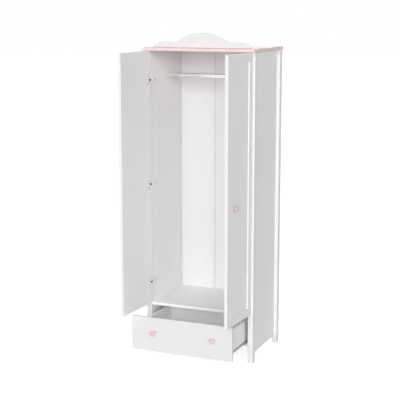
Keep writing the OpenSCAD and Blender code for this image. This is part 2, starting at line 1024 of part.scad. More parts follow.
module hinge_cup(z) {
  difference() {
    union() {
      bar_y(cup_x, door_in - cup_d, z, cup_r, cup_d + eps);
      bar_y(cup_x, door_in, z, cup_r + 0.5, cup_flange);
      board(cup_x - wing_w / 2, cup_x + wing_w / 2, door_in, door_in + cup_flange, z - wing_h, z + wing_h);
    }
    bar_y(cup_x, cup_floor, z, cup_r - cup_wall, cup_d + cup_flange + 1);
    for (s = [-1, 1])
      bar_y(cup_x, door_in - 1, z + s * cup_screw_z, screw_r + hole_c, cup_flange + 2);
  }
  for (s = [-1, 1])
    difference() {
      board(pivot_x - eye_r, pivot_x + eye_r, cup_floor - 0.5, pivot_y + eye_r,
            z + s * (arm_h + 1.4) - 1, z + s * (arm_h + 1.4) + 1);
      bar_z(pivot_x, pivot_y, z - arm_h - 4, pin_r + 0.02, 2 * arm_h + 8);
    }
}

module hinge_cups() {
  for (z = hinge_zs)
    hinge_cup(z);
}

module hinge_cups_right() {
  color(steel)
    right_door()
      hinge_cups();
}

module hinge_cups_left() {
  color(steel)
    left_door()
      hinge_cups();
}

module hinge_pins() {
  for (z = hinge_zs)
    bar_z(pivot_x, pivot_y, z - arm_h - 2.4, pin_r, 2 * arm_h + 4.8);
}

module hinge_pins_right() {
  color(steel)
    right_door()
      hinge_pins();
}

module hinge_pins_left() {
  color(steel)
    left_door()
      hinge_pins();
}

module cup_screws() {
  for (z = hinge_zs)
    for (s = [-1, 1]) {
      bar_y(cup_x, door_in - short_l + 0.5, z + s * cup_screw_z, screw_r, short_l + cup_flange - 0.5);
      bar_y(cup_x, door_in + cup_flange, z + s * cup_screw_z, head_r, head_h / 2);
    }
}

module cup_screws_right() {
  color(steel)
    right_door()
      cup_screws();
}

module cup_screws_left() {
  color(steel)
    left_door()
      cup_screws();
}

// knobs stand along -Y from their seat

module knob_profile(r) {
  rim_z = knob_h - knob_dome - knob_rim;
  cap_w = r - knob_rim;
  cap_r = (cap_w * cap_w + knob_dome * knob_dome) / (2 * knob_dome);
  square([knob_base, knob_base_h]);
  polygon([
    [0, 0],
    [knob_neck, 0],
    [knob_neck, rim_z - knob_rim - knob_flare],
    [knob_neck + cap_w * 0.12, rim_z - knob_rim - knob_flare * 0.4],
    [knob_neck + cap_w * 0.35, rim_z - knob_rim - knob_flare * 0.1],
    [cap_w, rim_z - knob_rim],
    [cap_w, rim_z + knob_rim],
    [0, rim_z + knob_rim]
  ]);
  translate([cap_w, rim_z])
    circle(r = knob_rim);
  intersection() {
    translate([0, rim_z])
      square([cap_w, knob_h]);
    translate([0, knob_h - cap_r])
      circle(r = cap_r);
  }
}

module knob(x, y, z, r) {
  translate([x, y, z])
    rotate([90, 0, 0])
      difference() {
        rotate_extrude()
          knob_profile(r);
        translate([0, 0, -1])
          cylinder(r = knob_screw_r + hole_c, h = knob_screw_d + 1.5);
      }
}

module knob_screw(x, y, z, t) {
  bar_y(x, y - knob_screw_d, z, knob_screw_r, knob_screw_d + t);
  bar_y(x, y + t, z, 2 * knob_screw_r, knob_screw_r);
}

module knob_stud(x, y, z) {
  bar_y(x, y - knob_screw_d, z, knob_screw_r, knob_screw_d + knob_stud_d);
}

module door_knob_right() {
  color(pink)
    right_door()
      knob(knob_door_x, field_y, door_knob_z, door_knob_r);
}

module door_knob_left() {
  color(pink)
    left_door()
      knob(knob_door_x, field_y, door_knob_z, door_knob_r);
}

module door_knob_screw_right() {
  color(steel)
    right_door()
      knob_stud(knob_door_x, field_y, door_knob_z);
}

module door_knob_screw_left() {
  color(steel)
    left_door()
      knob_stud(knob_door_x, field_y, door_knob_z);
}

// drawer, drawn closed and slid out

module drawer_front() {
  color(white)
    drawer()
      difference() {
        board(-front_w / 2, front_w / 2, front_y, -door_gap, front_z, front_top);
        board(-box_w / 2 + box_t - groove_d, box_w / 2 - box_t + groove_d,
              -door_gap - groove_d, 0, floor_z, floor_z + floor_t + 2 * groove_c);
        for (x = drawer_knob_xs)
          bar_y(x, front_y - 1, drawer_knob_z, knob_screw_r + hole_c, front_t + 2);
        both()
          for (z = box_dowel_zs)
            bar_y(box_mid, -door_gap - dowel_d - 0.5, z, dowel_r + hole_c, 2 * dowel_d);
      }
}

module drawer_side() {
  difference() {
    board(box_w / 2 - box_t, box_w / 2, -door_gap, box_back_y, box_z, box_top);
    board(0, box_w / 2 - box_t + groove_d, -door_gap - 1, box_back_y + 1,
          floor_z, floor_z + floor_t + 2 * groove_c);
    for (z = box_dowel_zs) {
      bar_y(box_mid, -door_gap - 1, z, dowel_r + hole_c, dowel_l - dowel_d + 1.5);
      bar_x(box_w / 2 - box_t - 1, box_back_y - box_back_t / 2, z, thin_r + hole_c, thin_l / 2 + 1.5);
    }
    for (y = drawer_screw_ys)
      bar_x(box_w / 2 - short_l + 2, y, drawer_screw_z, screw_r + hole_c, short_l);
  }
}

module drawer_side_right() {
  color(white)
    drawer()
      drawer_side();
}

module drawer_side_left() {
  color(white)
    drawer()
      mirror([1, 0, 0])
        drawer_side();
}

module drawer_back() {
  color(white)
    drawer()
      difference() {
        board(-box_w / 2 + box_t, box_w / 2 - box_t, box_back_y - box_back_t, box_back_y,
              back_low, box_top - box_back_drop);
        both()
          for (z = box_dowel_zs)
            bar_x(box_w / 2 - box_t - thin_l / 2 - 0.5, box_back_y - box_back_t / 2, z,
                  thin_r + hole_c, thin_l);
      }
}

module drawer_bottom() {
  color(white)
    drawer()
      board(-box_w / 2 + box_t - groove_d + 0.2, box_w / 2 - box_t + groove_d - 0.2,
            -door_gap - groove_d + 0.2, box_back_y,
            floor_z + groove_c, floor_z + groove_c + floor_t);
}

module drawer_knobs() {
  color(pink)
    drawer()
      for (x = drawer_knob_xs)
        knob(x, front_y, drawer_knob_z, knob_r);
}

module drawer_knob_screws() {
  color(steel)
    drawer()
      for (x = drawer_knob_xs)
        knob_screw(x, front_y, drawer_knob_z, front_t);
}

module drawer_runner() {
  difference() {
    union() {
      board(box_w / 2, rib_x, 0, box_back_y - 2, box_z - sheet_t, box_z + runner_h);
      board(box_w / 2 - lip_w, box_w / 2 + eps, 0, box_back_y - 2, box_z - sheet_t, box_z);
      board(rib_x - eps, rib_x + rib_w, 0, box_back_y - 2, rib_z, rib_z + sheet_t);
    }
    for (y = drawer_screw_ys)
      bar_x(box_w / 2 - 1, y, drawer_screw_z, screw_r + hole_c, sheet_t + 2);
  }
}

module drawer_runner_right() {
  color(steel)
    drawer()
      drawer_runner();
}

module drawer_runner_left() {
  color(steel)
    drawer()
      mirror([1, 0, 0])
        drawer_runner();
}

module drawer_runner_screws() {
  color(steel)
    drawer()
      both()
        for (y = drawer_screw_ys) {
          bar_x(box_w / 2 - short_l + 2.5, y, drawer_screw_z, screw_r, short_l - 2.5 + sheet_t);
          bar_x(rib_x, y, drawer_screw_z, screw_r + 0.45, 0.8);
        }
}

module drawer_dowels() {
  color(beech)
    drawer()
      both()
        for (z = box_dowel_zs) {
          bar_y(box_mid, -door_gap - dowel_d, z, dowel_r, dowel_l);
          bar_x(box_w / 2 - box_t - thin_l / 2, box_back_y - box_back_t / 2, z, thin_r, thin_l);
        }
}

post_front_left();
post_front_right();
post_back_left();
post_back_right();
side_panel_left();
side_panel_right();
top_board();
crest_board();
bottom_shelf();
front_stretcher();
back_rail();
back_panel_left();
back_panel_middle();
back_panel_right();
back_joint_strips();
back_screws();
hanging_rail();
rail_holders();
rail_holder_screws();
hinge_plates_left();
hinge_plates_right();
hinge_arms_left();
hinge_arms_right();
plate_screws();
foot_glides();
side_dowels();
rail_dowels();
top_dowels();
crest_dowels();
cam_housings();
cam_bolts();
runner_battens();
batten_screws();
cabinet_runner_left();
cabinet_runner_right();
cabinet_runner_screws();
door_leaf_left();
door_leaf_right();
hinge_cups_left();
hinge_cups_right();
hinge_pins_left();
hinge_pins_right();
cup_screws_left();
cup_screws_right();
door_knob_left();
door_knob_right();
door_knob_screw_left();
door_knob_screw_right();
drawer_front();
drawer_side_left();
drawer_side_right();
drawer_back();
drawer_bottom();
drawer_knobs();
drawer_knob_screws();
drawer_runner_left();
drawer_runner_right();
drawer_runner_screws();
drawer_dowels();
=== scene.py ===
"""Looks for a white two-door wardrobe with a coloured top, a shaped crest board and one drawer.

Pieces are made in metres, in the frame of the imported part: X right, Y back, Z up, the floor at zero.
Sizes in the classes are in millimetres, and their Y counts back from the front faces of the posts.
"""
import json
import logging
import math
from abc import ABC, abstractmethod
from dataclasses import dataclass, field
from enum import Enum
from typing import Callable, ClassVar

import bmesh
import bpy
from mathutils import Matrix, Vector


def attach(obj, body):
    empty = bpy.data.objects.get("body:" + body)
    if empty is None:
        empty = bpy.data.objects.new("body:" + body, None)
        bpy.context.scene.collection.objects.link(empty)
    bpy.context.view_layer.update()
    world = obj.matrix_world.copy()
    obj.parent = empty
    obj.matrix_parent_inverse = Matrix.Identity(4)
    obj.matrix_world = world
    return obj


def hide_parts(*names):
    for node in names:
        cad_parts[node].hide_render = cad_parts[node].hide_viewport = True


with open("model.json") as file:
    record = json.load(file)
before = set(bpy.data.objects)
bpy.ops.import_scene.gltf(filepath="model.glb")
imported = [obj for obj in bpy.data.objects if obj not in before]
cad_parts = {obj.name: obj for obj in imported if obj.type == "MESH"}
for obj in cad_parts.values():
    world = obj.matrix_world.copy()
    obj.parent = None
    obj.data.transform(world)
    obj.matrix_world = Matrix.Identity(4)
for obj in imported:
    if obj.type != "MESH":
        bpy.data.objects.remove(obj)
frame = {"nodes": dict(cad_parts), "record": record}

Pair = tuple[float, float]
Triple = tuple[float, float, float]
Socket = bpy.types.NodeSocket

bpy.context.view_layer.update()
LOG = logging.getLogger("wardrobe")
MM = 0.001
HALF_DEPTH = 0.255  # metres from the front faces of the posts back to the part's origin
MERGE_DIST = 1e-6  # metres within which two points are one
SHARP_ANGLE = math.radians(40)  # edges that bend by more than this are rounded
FACING = 0.9  # share of a normal along an axis from which a face looks that way
NOISE_SPAN = (0.3, 0.7)  # where most values of a soft noise lie
GRAIN_SPAN = (0.25, 0.75)  # where those of a fine grain lie
WHITE = (1.0, 1.0, 1.0, 1.0)


class Side(Enum):
    """The two sides of the wardrobe, with the sign of X on each."""

    LEFT = -1
    RIGHT = 1

    @property
    def word(self) -> str:
        """Gives the side's word, as it ends the node names.

        Returns:
            The word in small letters.
        """
        return self.name.lower()

    def span(self, near: float, far: float) -> list[float]:
        """Puts two distances from the middle on this side.

        Args:
            near: the smaller distance.
            far: the larger distance.

        Returns:
            The lower and the higher X.
        """
        return sorted((self.value * near, self.value * far))


class Body(Enum):
    """The rigid bodies that pieces ride on."""

    CARCASS = "carcass"
    LEFT_DOOR = "left_door"
    RIGHT_DOOR = "right_door"
    DRAWER = "drawer"


class Slot(Enum):
    """The record's material slots that shaped pieces use."""

    WHITE = "white_lacquer"
    PINK = "pink_lacquer"
    HARDBOARD = "white_hardboard"


class Edge(Enum):
    """How far the edges of each kind of piece are rounded, in millimetres."""

    BOTTOM = 0.3
    SHEET = 0.4
    PANEL = 0.8
    BOARD = 0.9
    POST = 1.0
    LEAF = 1.3
    CREST = 1.4
    FRONT = 1.6
    TOP = 2.6


@dataclass(frozen=True)
class Pattern:
    """A noise pattern: repeats for each metre, octaves, and the scale along each axis."""

    scale: float
    detail: float
    stretch: Triple = (1.0, 1.0, 1.0)


class NodeTree:
    """A thin helper that adds nodes to one material."""

    STREAK_SCALE = 260.0
    STREAK_DETAIL = 3.0
    STREAK_BUMP = (0.04, 0.0002)

    def __init__(self, name: str) -> None:
        """Starts a material with its Principled shader.

        Args:
            name: the material's name.
        """
        self.material = bpy.data.materials.new(name)
        self.material.use_nodes = True
        self.nodes = self.material.node_tree.nodes
        self.links = self.material.node_tree.links
        self.shader = self.nodes["Principled BSDF"]
        self.coords = self.nodes.new("ShaderNodeTexCoord").outputs["Object"]

    def feed(self, value: Socket, name: str) -> None:
        """Links a socket to one of the shader's inputs.

        Args:
            value: the socket to link.
            name: the input's name.
        """
        self.links.new(value, self.shader.inputs[name])

    def noise(self, pattern: Pattern) -> Socket:
        """Adds a noise pattern on Object coordinates.

        Args:
            pattern: the pattern's measures.

        Returns:
            The pattern's value socket.
        """
        mapping = self.nodes.new("ShaderNodeMapping")
        mapping.inputs["Scale"].default_value = pattern.stretch
        self.links.new(self.coords, mapping.inputs["Vector"])
        made = self.nodes.new("ShaderNodeTexNoise")
        made.inputs["Scale"].default_value = pattern.scale
        made.inputs["Detail"].default_value = pattern.detail
        self.links.new(mapping.outputs["Vector"], made.inputs["Vector"])
        return made.outputs["Fac"]

    def ramp(self, value: Socket, span: Pair, colours: tuple[Triple, Triple]) -> Socket:
        """Maps a value to a run between two colours.

        Args:
            value: the socket to map.
            span: the values at which the run starts and ends.
            colours: the colours there.

        Returns:
            The colour socket.
        """
        made = self.nodes.new("ShaderNodeValToRGB")
        for element, place, colour in zip(made.color_ramp.elements, span, colours):
            element.position = place
            element.color = (*colour, 1.0)
        self.links.new(value, made.inputs["Fac"])
        return made.outputs["Color"]

    def spread(self, value: Socket, result: Pair) -> Socket:
        """Maps the middle of a noise to a range of numbers.

        Args:
            value: the socket to map.
            result: the numbers at the noise's low and high end.

        Returns:
            The mapped socket.
        """
        made = self.nodes.new("ShaderNodeMapRange")
        made.inputs["From Min"].default_value = NOISE_SPAN[0]
        made.inputs["From Max"].default_value = NOISE_SPAN[1]
        made.inputs["To Min"].default_value = result[0]
        made.inputs["To Max"].default_value = result[1]
        self.links.new(value, made.inputs["Value"])
        return made.outputs["Result"]

    def bump(self, value: Socket, strength: float, distance: float) -> None:
        """Presses a pattern into the surface.

        Args:
            value: the height socket.
            strength: how strongly the bump acts.
            distance: its height in metres.
        """
        made = self.nodes.new("ShaderNodeBump")
        made.inputs["Strength"].default_value = strength
        made.inputs["Distance"].default_value = distance
        self.links.new(value, made.inputs["Height"])
        self.feed(made.outputs["Normal"], "Normal")

    def brush(self, grain: Triple, rough: Pair) -> Socket:
        """Gives a metal its drawn grain, in roughness and relief.

        Args:
            grain: the grain's scale along each axis.
            rough: the lowest and highest roughness.

        Returns:
            The grain's value socket.
        """
        streak = self.noise(Pattern(self.STREAK_SCALE, self.STREAK_DETAIL, grain))
        self.feed(self.spread(streak, rough), "Roughness")
        self.bump(streak, *self.STREAK_BUMP)
        return streak

    def set(self, **values: float) -> None:
        """Sets numbers on the shader's own sockets.

        Args:
            values: the number for each socket, with underscores for spaces in its name.
        """
        for name, value in values.items():
            self.shader.inputs[name.replace("_", " ")].default_value = value


@dataclass(frozen=True)
class Finish(ABC):
    """A finish that can be made into a material."""

    name: str

    @abstractmethod
    def build(self) -> bpy.types.Material:
        """Makes the material.

        Returns:
            The finish's material.
        """


@dataclass(frozen=True)
class Lacquer(Finish):
    """A sprayed satin coat: faint clouds, upright fibres under an orange peel, an uneven sheen."""

    colour: Triple
    shade: Triple
    rough: Pair = (0.42, 0.54)
    peel: float = 0.05
    gloss: float = 0.16

    CLOUDS: ClassVar[Pattern] = Pattern(3.2, 4.0, (1.0, 1.0, 0.35))
    SHEEN: ClassVar[Pattern] = Pattern(14.0, 3.0)
    FIBRES: ClassVar[Pattern] = Pattern(90.0, 4.0, (1.0, 1.0, 0.04))
    ORANGE_PEEL: ClassVar[Pattern] = Pattern(420.0, 2.0)
    FIBRE_SHARE: ClassVar[float] = 0.6
    RELIEF: ClassVar[float] = 0.0004

    def build(self) -> bpy.types.Material:
        """Makes the material.

        Returns:
            The coat's material.
        """
        tree = NodeTree(self.name)
        colours = (self.shade, self.colour)
        tree.feed(tree.ramp(tree.noise(self.CLOUDS), NOISE_SPAN, colours), "Base Color")
        tree.feed(tree.spread(tree.noise(self.SHEEN), self.rough), "Roughness")
        relief = tree.nodes.new("ShaderNodeMath")
        relief.operation = "MULTIPLY_ADD"
        relief.inputs[1].default_value = self.FIBRE_SHARE
        tree.links.new(tree.noise(self.FIBRES), relief.inputs[0])
        tree.links.new(tree.noise(self.ORANGE_PEEL), relief.inputs[2])
        tree.bump(relief.outputs[0], self.peel, self.RELIEF)
        tree.set(Specular_IOR_Level=self.gloss)
        return tree.material


@dataclass(frozen=True)
class Metal(Finish):
    """A plated or coated metal with a drawn grain."""

    colour: Triple
    shade: Triple
    rough: Pair
    metallic: float = 1.0
    grain: Triple = (1.0, 1.0, 1.0)

    def build(self) -> bpy.types.Material:
        """Makes the material.

        Returns:
            The metal's material.
        """
        tree = NodeTree(self.name)
        streak = tree.brush(self.grain, self.rough)
        tree.feed(tree.ramp(streak, GRAIN_SPAN, (self.shade, self.colour)), "Base Color")
        tree.set(Metallic=self.metallic)
        return tree.material


@dataclass(frozen=True)
class HingeArm(Finish):
    """A bright stamped hinge arm whose knuckle, in front of the posts, is painted dark: painted shade
    for the gap between door and post.
    """

    cover: Triple = (0.86, 0.86, 0.865)
    knuckle_shade: Triple = (0.16, 0.16, 0.17)
    front: float = -4.0
    back: float = 4.0
    rough: Pair = (0.28, 0.42)
    metallic: float = 0.6
    grain: Triple = (1.0, 0.1, 1.0)

    def build(self) -> bpy.types.Material:
        """Makes the material.

        Returns:
            The arm's material.
        """
        tree = NodeTree(self.name)
        split = tree.nodes.new("ShaderNodeSeparateXYZ")
        tree.links.new(tree.coords, split.inputs[0])
        reach = tree.nodes.new("ShaderNodeMapRange")
        reach.inputs["From Min"].default_value = self.front * MM - HALF_DEPTH
        reach.inputs["From Max"].default_value = self.back * MM - HALF_DEPTH
        tree.links.new(split.outputs["Y"], reach.inputs["Value"])
        # Painted shade: the arm is dark in front of the posts, where it sits in the gap, and bright
        # behind them.
        colours = (self.knuckle_shade, self.cover)
        tree.feed(tree.ramp(reach.outputs["Result"], (0.0, 1.0), colours), "Base Color")
        tree.brush(self.grain, self.rough)
        tree.set(Metallic=self.metallic)
        return tree.material


@dataclass(frozen=True)
class BareWood(Finish):
    """Unfinished wood with its grain along Z."""

    colour: Triple
    shade: Triple
    rough: Pair

    GRAIN: ClassVar[Pattern] = Pattern(160.0, 5.0, (1.0, 1.0, 0.12))
    GRAIN_BUMP: ClassVar[Pair] = (0.1, 0.0003)

    def build(self) -> bpy.types.Material:
        """Makes the material.

        Returns:
            The wood's material.
        """
        tree = NodeTree(self.name)
        grain = tree.noise(self.GRAIN)
        tree.feed(tree.ramp(grain, GRAIN_SPAN, (self.shade, self.colour)), "Base Color")
        tree.feed(tree.spread(grain, self.rough), "Roughness")
        tree.bump(grain, *self.GRAIN_BUMP)
        return tree.material


# One finish for each slot of the record, and the finishes that single pieces have of their own, among
# them lighter and darker copies of the white lacquer and the nickel that carry painted light and
# shade.
FINISHES: tuple[Finish, ...] = (
    Lacquer("white_lacquer", (0.945, 0.945, 0.943), (0.93, 0.93, 0.928)),
    # A darker copy of the white lacquer for the crest board and the drawer front: painted shade that
    # tones down their brightly lit front faces.
    Lacquer("front_lacquer_painted_shade", (0.855, 0.855, 0.853), (0.84, 0.84, 0.838)),
    # A darker copy of the white lacquer for the posts: painted shade that tones down their lit front
    # faces.
    Lacquer("post_lacquer_painted_shade", (0.90, 0.90, 0.898), (0.885, 0.885, 0.883)),
    # A lighter copy of the white lacquer for the shelf and the drawer's sides and back: painted light
    # that lifts them out of the shade under the shelf.
    Lacquer("inner_lacquer_painted_light", (0.985, 0.985, 0.984), (0.975, 0.975, 0.974)),
    Lacquer("pink_lacquer", (0.96, 0.745, 0.73), (0.935, 0.715, 0.70), gloss=0.03),
    Lacquer("pink_knob", (0.86, 0.64, 0.62), (0.83, 0.605, 0.585), (0.3, 0.42), 0.02, 0.3),
    Lacquer("white_hardboard", (0.92, 0.92, 0.918), (0.905, 0.905, 0.903), (0.45, 0.6), 0.12),
    Lacquer("white_strip", (0.80, 0.80, 0.80), (0.77, 0.77, 0.77), (0.25, 0.35), 0.02, 0.4),
    Lacquer("nylon", (0.70, 0.70, 0.69), (0.64, 0.64, 0.63), (0.45, 0.6), 0.1),
    Metal("chrome", (0.82, 0.82, 0.825), (0.75, 0.75, 0.755), (0.14, 0.20), grain=(0.05, 1.0, 1.0)),
    Metal("nickel_steel", (0.82, 0.82, 0.825), (0.74, 0.74, 0.75), (0.28, 0.40), 0.75),
    # A lighter, less metallic copy of the nickel steel for the hinge plates and screws: painted light.
    Metal("bright_plate_painted_light", (0.88, 0.88, 0.885), (0.82, 0.82, 0.825), (0.3, 0.42), 0.45),
    HingeArm("hinge_arm"),
    Metal("zinc", (0.58, 0.59, 0.60), (0.48, 0.49, 0.50), (0.38, 0.5), 0.7, (1.0, 0.08, 1.0)),
    BareWood("beech", (0.66, 0.47, 0.29), (0.50, 0.33, 0.19), (0.5, 0.65)),
)


@dataclass
class Palette:
    """All finishes of the wardrobe, made once."""

    made: dict[str, bpy.types.Material] = field(init=False)

    def __post_init__(self) -> None:
        """Builds every finish."""
        self.made = {finish.name: finish.build() for finish in FINISHES}

    def dress(self, obj: bpy.types.Object, finish: str) -> None:
        """Gives an object one finish, and nothing else.

        Args:
            obj: the mesh object.
            finish: the finish's name.
        """
        obj.data.materials.clear()
        obj.data.materials.append(self.made[finish])


@dataclass
class Workshop:
    """Turns bmeshes into finished pieces that stand for CAD nodes."""

    palette: Palette
    count: int = 0

    def piece(self, name: str, bm: bmesh.types.BMesh, body: Body, slot: Slot, node: str,
              smooth: bool = False, finish: str = "") -> None:
        """Finishes one piece.

        Args:
            name: the piece's name.
            bm: its mesh, already in place; freed here.
            body: the body it rides on.
            slot: the material slot.
            node: the CAD node it stands for.
            smooth: whether its faces shade smoothly.
            finish: a finish of its own, where it isn't the slot's.
        """
        bmesh.ops.recalc_face_normals(bm, faces=bm.faces[:])
        mesh = bpy.data.meshes.new(name)
        bm.to_mesh(mesh)
        bm.free()
        mesh.polygons.foreach_set("use_smooth", [smooth] * len(mesh.polygons))
        obj = bpy.data.objects.new(name, mesh)
        bpy.context.scene.collection.objects.link(obj)
        self.palette.dress(obj, finish or slot.value)
        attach(obj, body.value)
        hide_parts(node)
        self.count += 1
        LOG.info("%s: %d faces on %s", name, len(mesh.polygons), body.value)

    def board(self, node: str, body: Body, low: Triple, high: Triple, edge: Edge,
              slot: Slot = Slot.WHITE, finish: str = "") -> None:
        """Makes one eased board that stands for a node.

        Args:
            node: the CAD node's name.
            body: the body it rides on.
            low: its lowest corner.
            high: its highest corner.
            edge: how its edges are rounded.
            slot: the material slot.
            finish: a finish of its own, where it isn't the slot's.
        """
        bm = slab(low, high)
        ease(bm, edge)
        self.piece(node + "_board", bm, body, slot, node, finish=finish)


def ease(bm: bmesh.types.BMesh, edge: Edge, segments: int = 3) -> None:
    """Rounds every sharp edge of a mesh.

    Args:
        bm: the mesh.
        edge: how far its edges are rounded.
        segments: facets across the rounding.
    """
    bm.normal_update()
    sharp = [e for e in bm.edges if e.is_manifold and e.calc_face_angle(0.0) > SHARP_ANGLE]
    bmesh.ops.bevel(bm, geom=sharp, offset=edge.value * MM, segments=segments, profile=0.5,
                    affect="EDGES", material=-1, clamp_overlap=True)


def slab(low: Triple, high: Triple) -> bmesh.types.BMesh:
    """Makes a plain block between two corners.

    Args:
        low: the lowest corner.
        high: the highest corner.

    Returns:
        The block, in metres in the part's frame.
    """
    bm = bmesh.new()
    bmesh.ops.create_cube(bm, size=1.0)
    a, b = Vector(low) * MM, Vector(high) * MM
    bmesh.ops.scale(bm, vec=b - a, verts=bm.verts[:])
    bmesh.ops.translate(bm, vec=(a + b) / 2 - Vector((0, HALF_DEPTH, 0)), verts=bm.verts[:])
    return bm


def swept(bm: bmesh.types.BMesh, faces: list[bmesh.types.BMFace], way: Triple) -> None:
    """Grows flat faces into a solid.

    Args:
        bm: the mesh that holds the faces.
        faces: the faces, which stay as the solid's first end.
        way: how far the other end lies away, in metres.
    """
    grown = bmesh.ops.extrude_face_region(bm, geom=faces, use_keep_orig=True)
    moved = [g for g in grown["geom"] if isinstance(g, bmesh.types.BMVert)]
    bmesh.ops.translate(bm, vec=way, verts=moved)


def prism(outline: list[Pair], bottom: float, top: float) -> bmesh.types.BMesh:
    """Makes a post of constant section, from a few corners.

    Args:
        outline: its corners in X and Y.
        bottom: its lower height.
        top: its upper height.

    Returns:
        The post, in metres in the part's frame.
    """
    bm = bmesh.new()
    corners = [bm.verts.new((x * MM, y * MM - HALF_DEPTH, bottom * MM)) for x, y in outline]
    swept(bm, [bm.faces.new(corners)], (0, 0, (top - bottom) * MM))
    return bm


def flip_x(bm: bmesh.types.BMesh) -> bmesh.types.BMesh:
    """Mirrors a mesh to the left side.

    Args:
        bm: the mesh.

    Returns:
        The same mesh, mirrored.
    """
    bmesh.ops.scale(bm, vec=(-1, 1, 1), verts=bm.verts[:])
    bmesh.ops.reverse_faces(bm, faces=bm.faces[:])
    return bm


@dataclass
class Knob:
    """A turned knob with a slim neck and a thin domed head, drawn along -Y."""

    head: float
    rise: float = 36.0
    rim: float = 3.0
    dome: float = 2.5
    flare: float = 8.0
    neck: float = 5.0
    base: float = 7.5

    FOOT: ClassVar[tuple[Pair, ...]] = ((-0.5, 0.0), (0.0, 0.5), (0.0, 2.0), (-0.6, 2.6))
    WAIST: ClassVar[tuple[Pair, ...]] = ((0.5, 3.4), (0.0, 5.0))
    FLARE: ClassVar[tuple[Pair, ...]] = ((0.03, 0.7), (0.12, 0.4), (0.22, 0.2), (0.35, 0.1))
    RIM_START: ClassVar[float] = -90
    RIM_SWEEP: ClassVar[float] = 170
    RIM_STEPS: ClassVar[int] = 8
    DOME_STEPS: ClassVar[int] = 7
    SPIN_STEPS: ClassVar[int] = 40

    def outline(self) -> list[Pair]:
        """Draws the half section from the seat's middle to the head's middle.

        Returns:
            Radius and height of each point.
        """
        rim_at = self.rise - self.dome - self.rim
        wide = self.head - self.rim
        under = rim_at - self.rim
        arc = (wide**2 + self.dome**2) / (2 * self.dome)
        line = [(0.0, 0.0)]
        line += [(self.base + r, h) for r, h in self.FOOT]
        line += [(self.neck + r, h) for r, h in self.WAIST]
        line.append((self.neck, under - self.flare))
        line += [(self.neck + wide * w, under - self.flare * h) for w, h in self.FLARE]
        for k in range(self.RIM_STEPS + 1):
            a = math.radians(self.RIM_START + k * self.RIM_SWEEP / self.RIM_STEPS)
            line.append((wide + self.rim * math.cos(a), rim_at + self.rim * math.sin(a)))
        for k in range(1, self.DOME_STEPS):
            a = math.asin(wide / arc) * (1 - k / self.DOME_STEPS)
            line.append((arc * math.sin(a), self.rise - arc + arc * math.cos(a)))
        return line + [(0.0, self.rise)]

    def mesh(self, x: float, y: float, z: float) -> bmesh.types.BMesh:
        """Spins the knob's outline.

        Args:
            x: the seat's centre.
            y: the seat's face.
            z: the seat's height.

        Returns:
            The closed knob, in metres in the part's frame.
        """
        bm = bmesh.new()
        seat = Vector((x * MM, y * MM - HALF_DEPTH, z * MM))
        verts = [bm.verts.new(seat + Vector((r, -h, 0)) * MM) for r, h in self.outline()]
        edges = [bm.edges.new(pair) for pair in zip(verts, verts[1:])]
        bmesh.ops.spin(bm, geom=verts + edges, cent=seat, axis=(0, 1, 0), dvec=(0, 0, 0),
                       angle=2 * math.pi, steps=self.SPIN_STEPS, use_merge=True)
        bmesh.ops.remove_doubles(bm, verts=bm.verts[:], dist=MERGE_DIST)
        return bm


@dataclass
class Crest:
    """The shaped crest board: a high swell in the middle, then a dip, a low bump and a long flank.

    Attributes:
        foot: height of the face it stands on.
        front: its front face.
        thick: its thickness.
        peak: the swell's height above the foot.
        swell: the swell's radius.
        turn: distance from the middle at which the swell turns into the dip.
        dip: distance of the lowest point of the dip.
        bump: distance of the bump's top.
        rise: the bump's height above the dip.
        half: distance of the board's end.
        end: the board's height at its end.
    """

    foot: float = 2000.0
    front: float = 54.0
    thick: float = 18.0
    peak: float = 91.5
    swell: float = 290.0
    turn: float = 156.0
    dip: float = 197.0
    bump: float = 238.0
    rise: float = 3.0
    half: float = 343.0
    end: float = 3.0

    def arcs(self) -> list[tuple[float, float, float, int]]:
        """Works out the arcs of the right half, from the peak to the end.

        Returns:
            X and height of each arc's centre, its angle, and the steps along it.
        """
        tilt = math.asin(self.turn / self.swell)
        turn_z = self.peak - self.swell * (1 - math.cos(tilt))
        dip_r = (self.dip - self.turn) / math.sin(tilt)
        dip_z = turn_z - dip_r * (1 - math.cos(tilt))
        lean = 2 * math.atan(self.rise / (self.bump - self.dip))
        bump_r = (self.bump - self.dip) / (2 * math.sin(lean))
        bump_z = dip_z + self.rise
        run, fall = self.half - self.bump, bump_z - self.end
        flank_r = (run**2 + fall**2) / (2 * fall)
        return [
            (0.0, self.peak - self.swell, tilt, 20),
            (self.dip, dip_z + dip_r, -tilt, 14),
            (self.dip, dip_z + bump_r, -lean, 6),
            (self.bump, bump_z - bump_r, lean, 6),
            (self.bump, bump_z - flank_r, math.asin(run / flank_r), 16),
        ]

    def mesh(self) -> bmesh.types.BMesh:
        """Draws the outline by spinning one point from arc to arc, and gives it its thickness.

        Returns:
            The board, in metres in the part's frame.
        """
        bm = bmesh.new()
        face_y, foot_z = self.front * MM - HALF_DEPTH, self.foot * MM
        tip = bm.verts.new((0, face_y, foot_z + self.peak * MM))
        for x, z, angle, steps in self.arcs():
            made = bmesh.ops.spin(bm, geom=[tip], cent=(x * MM, face_y, foot_z + z * MM),
                                  axis=(0, 1, 0), dvec=(0, 0, 0), angle=angle, steps=steps)
            tip = next(g for g in made["geom_last"] if isinstance(g, bmesh.types.BMVert))
        corner = bm.verts.new((self.half * MM, face_y, foot_z))
        bm.edges.new((tip, corner))
        middle = Vector((0, face_y, foot_z))
        bm.edges.new((corner, bm.verts.new(middle)))
        bmesh.ops.mirror(bm, geom=bm.verts[:] + bm.edges[:], axis="X", merge_dist=MERGE_DIST)
        bmesh.ops.remove_doubles(bm, verts=bm.verts[:], dist=MERGE_DIST)
        spare = [v for v in bm.verts if (v.co - middle).length < MERGE_DIST]
        bmesh.ops.dissolve_verts(bm, verts=spare)
        outline = bmesh.ops.contextual_create(bm, geom=bm.edges[:])["faces"]
        swept(bm, outline, (0, self.thick * MM, 0))
        ease(bm, Edge.CREST)
        return bm


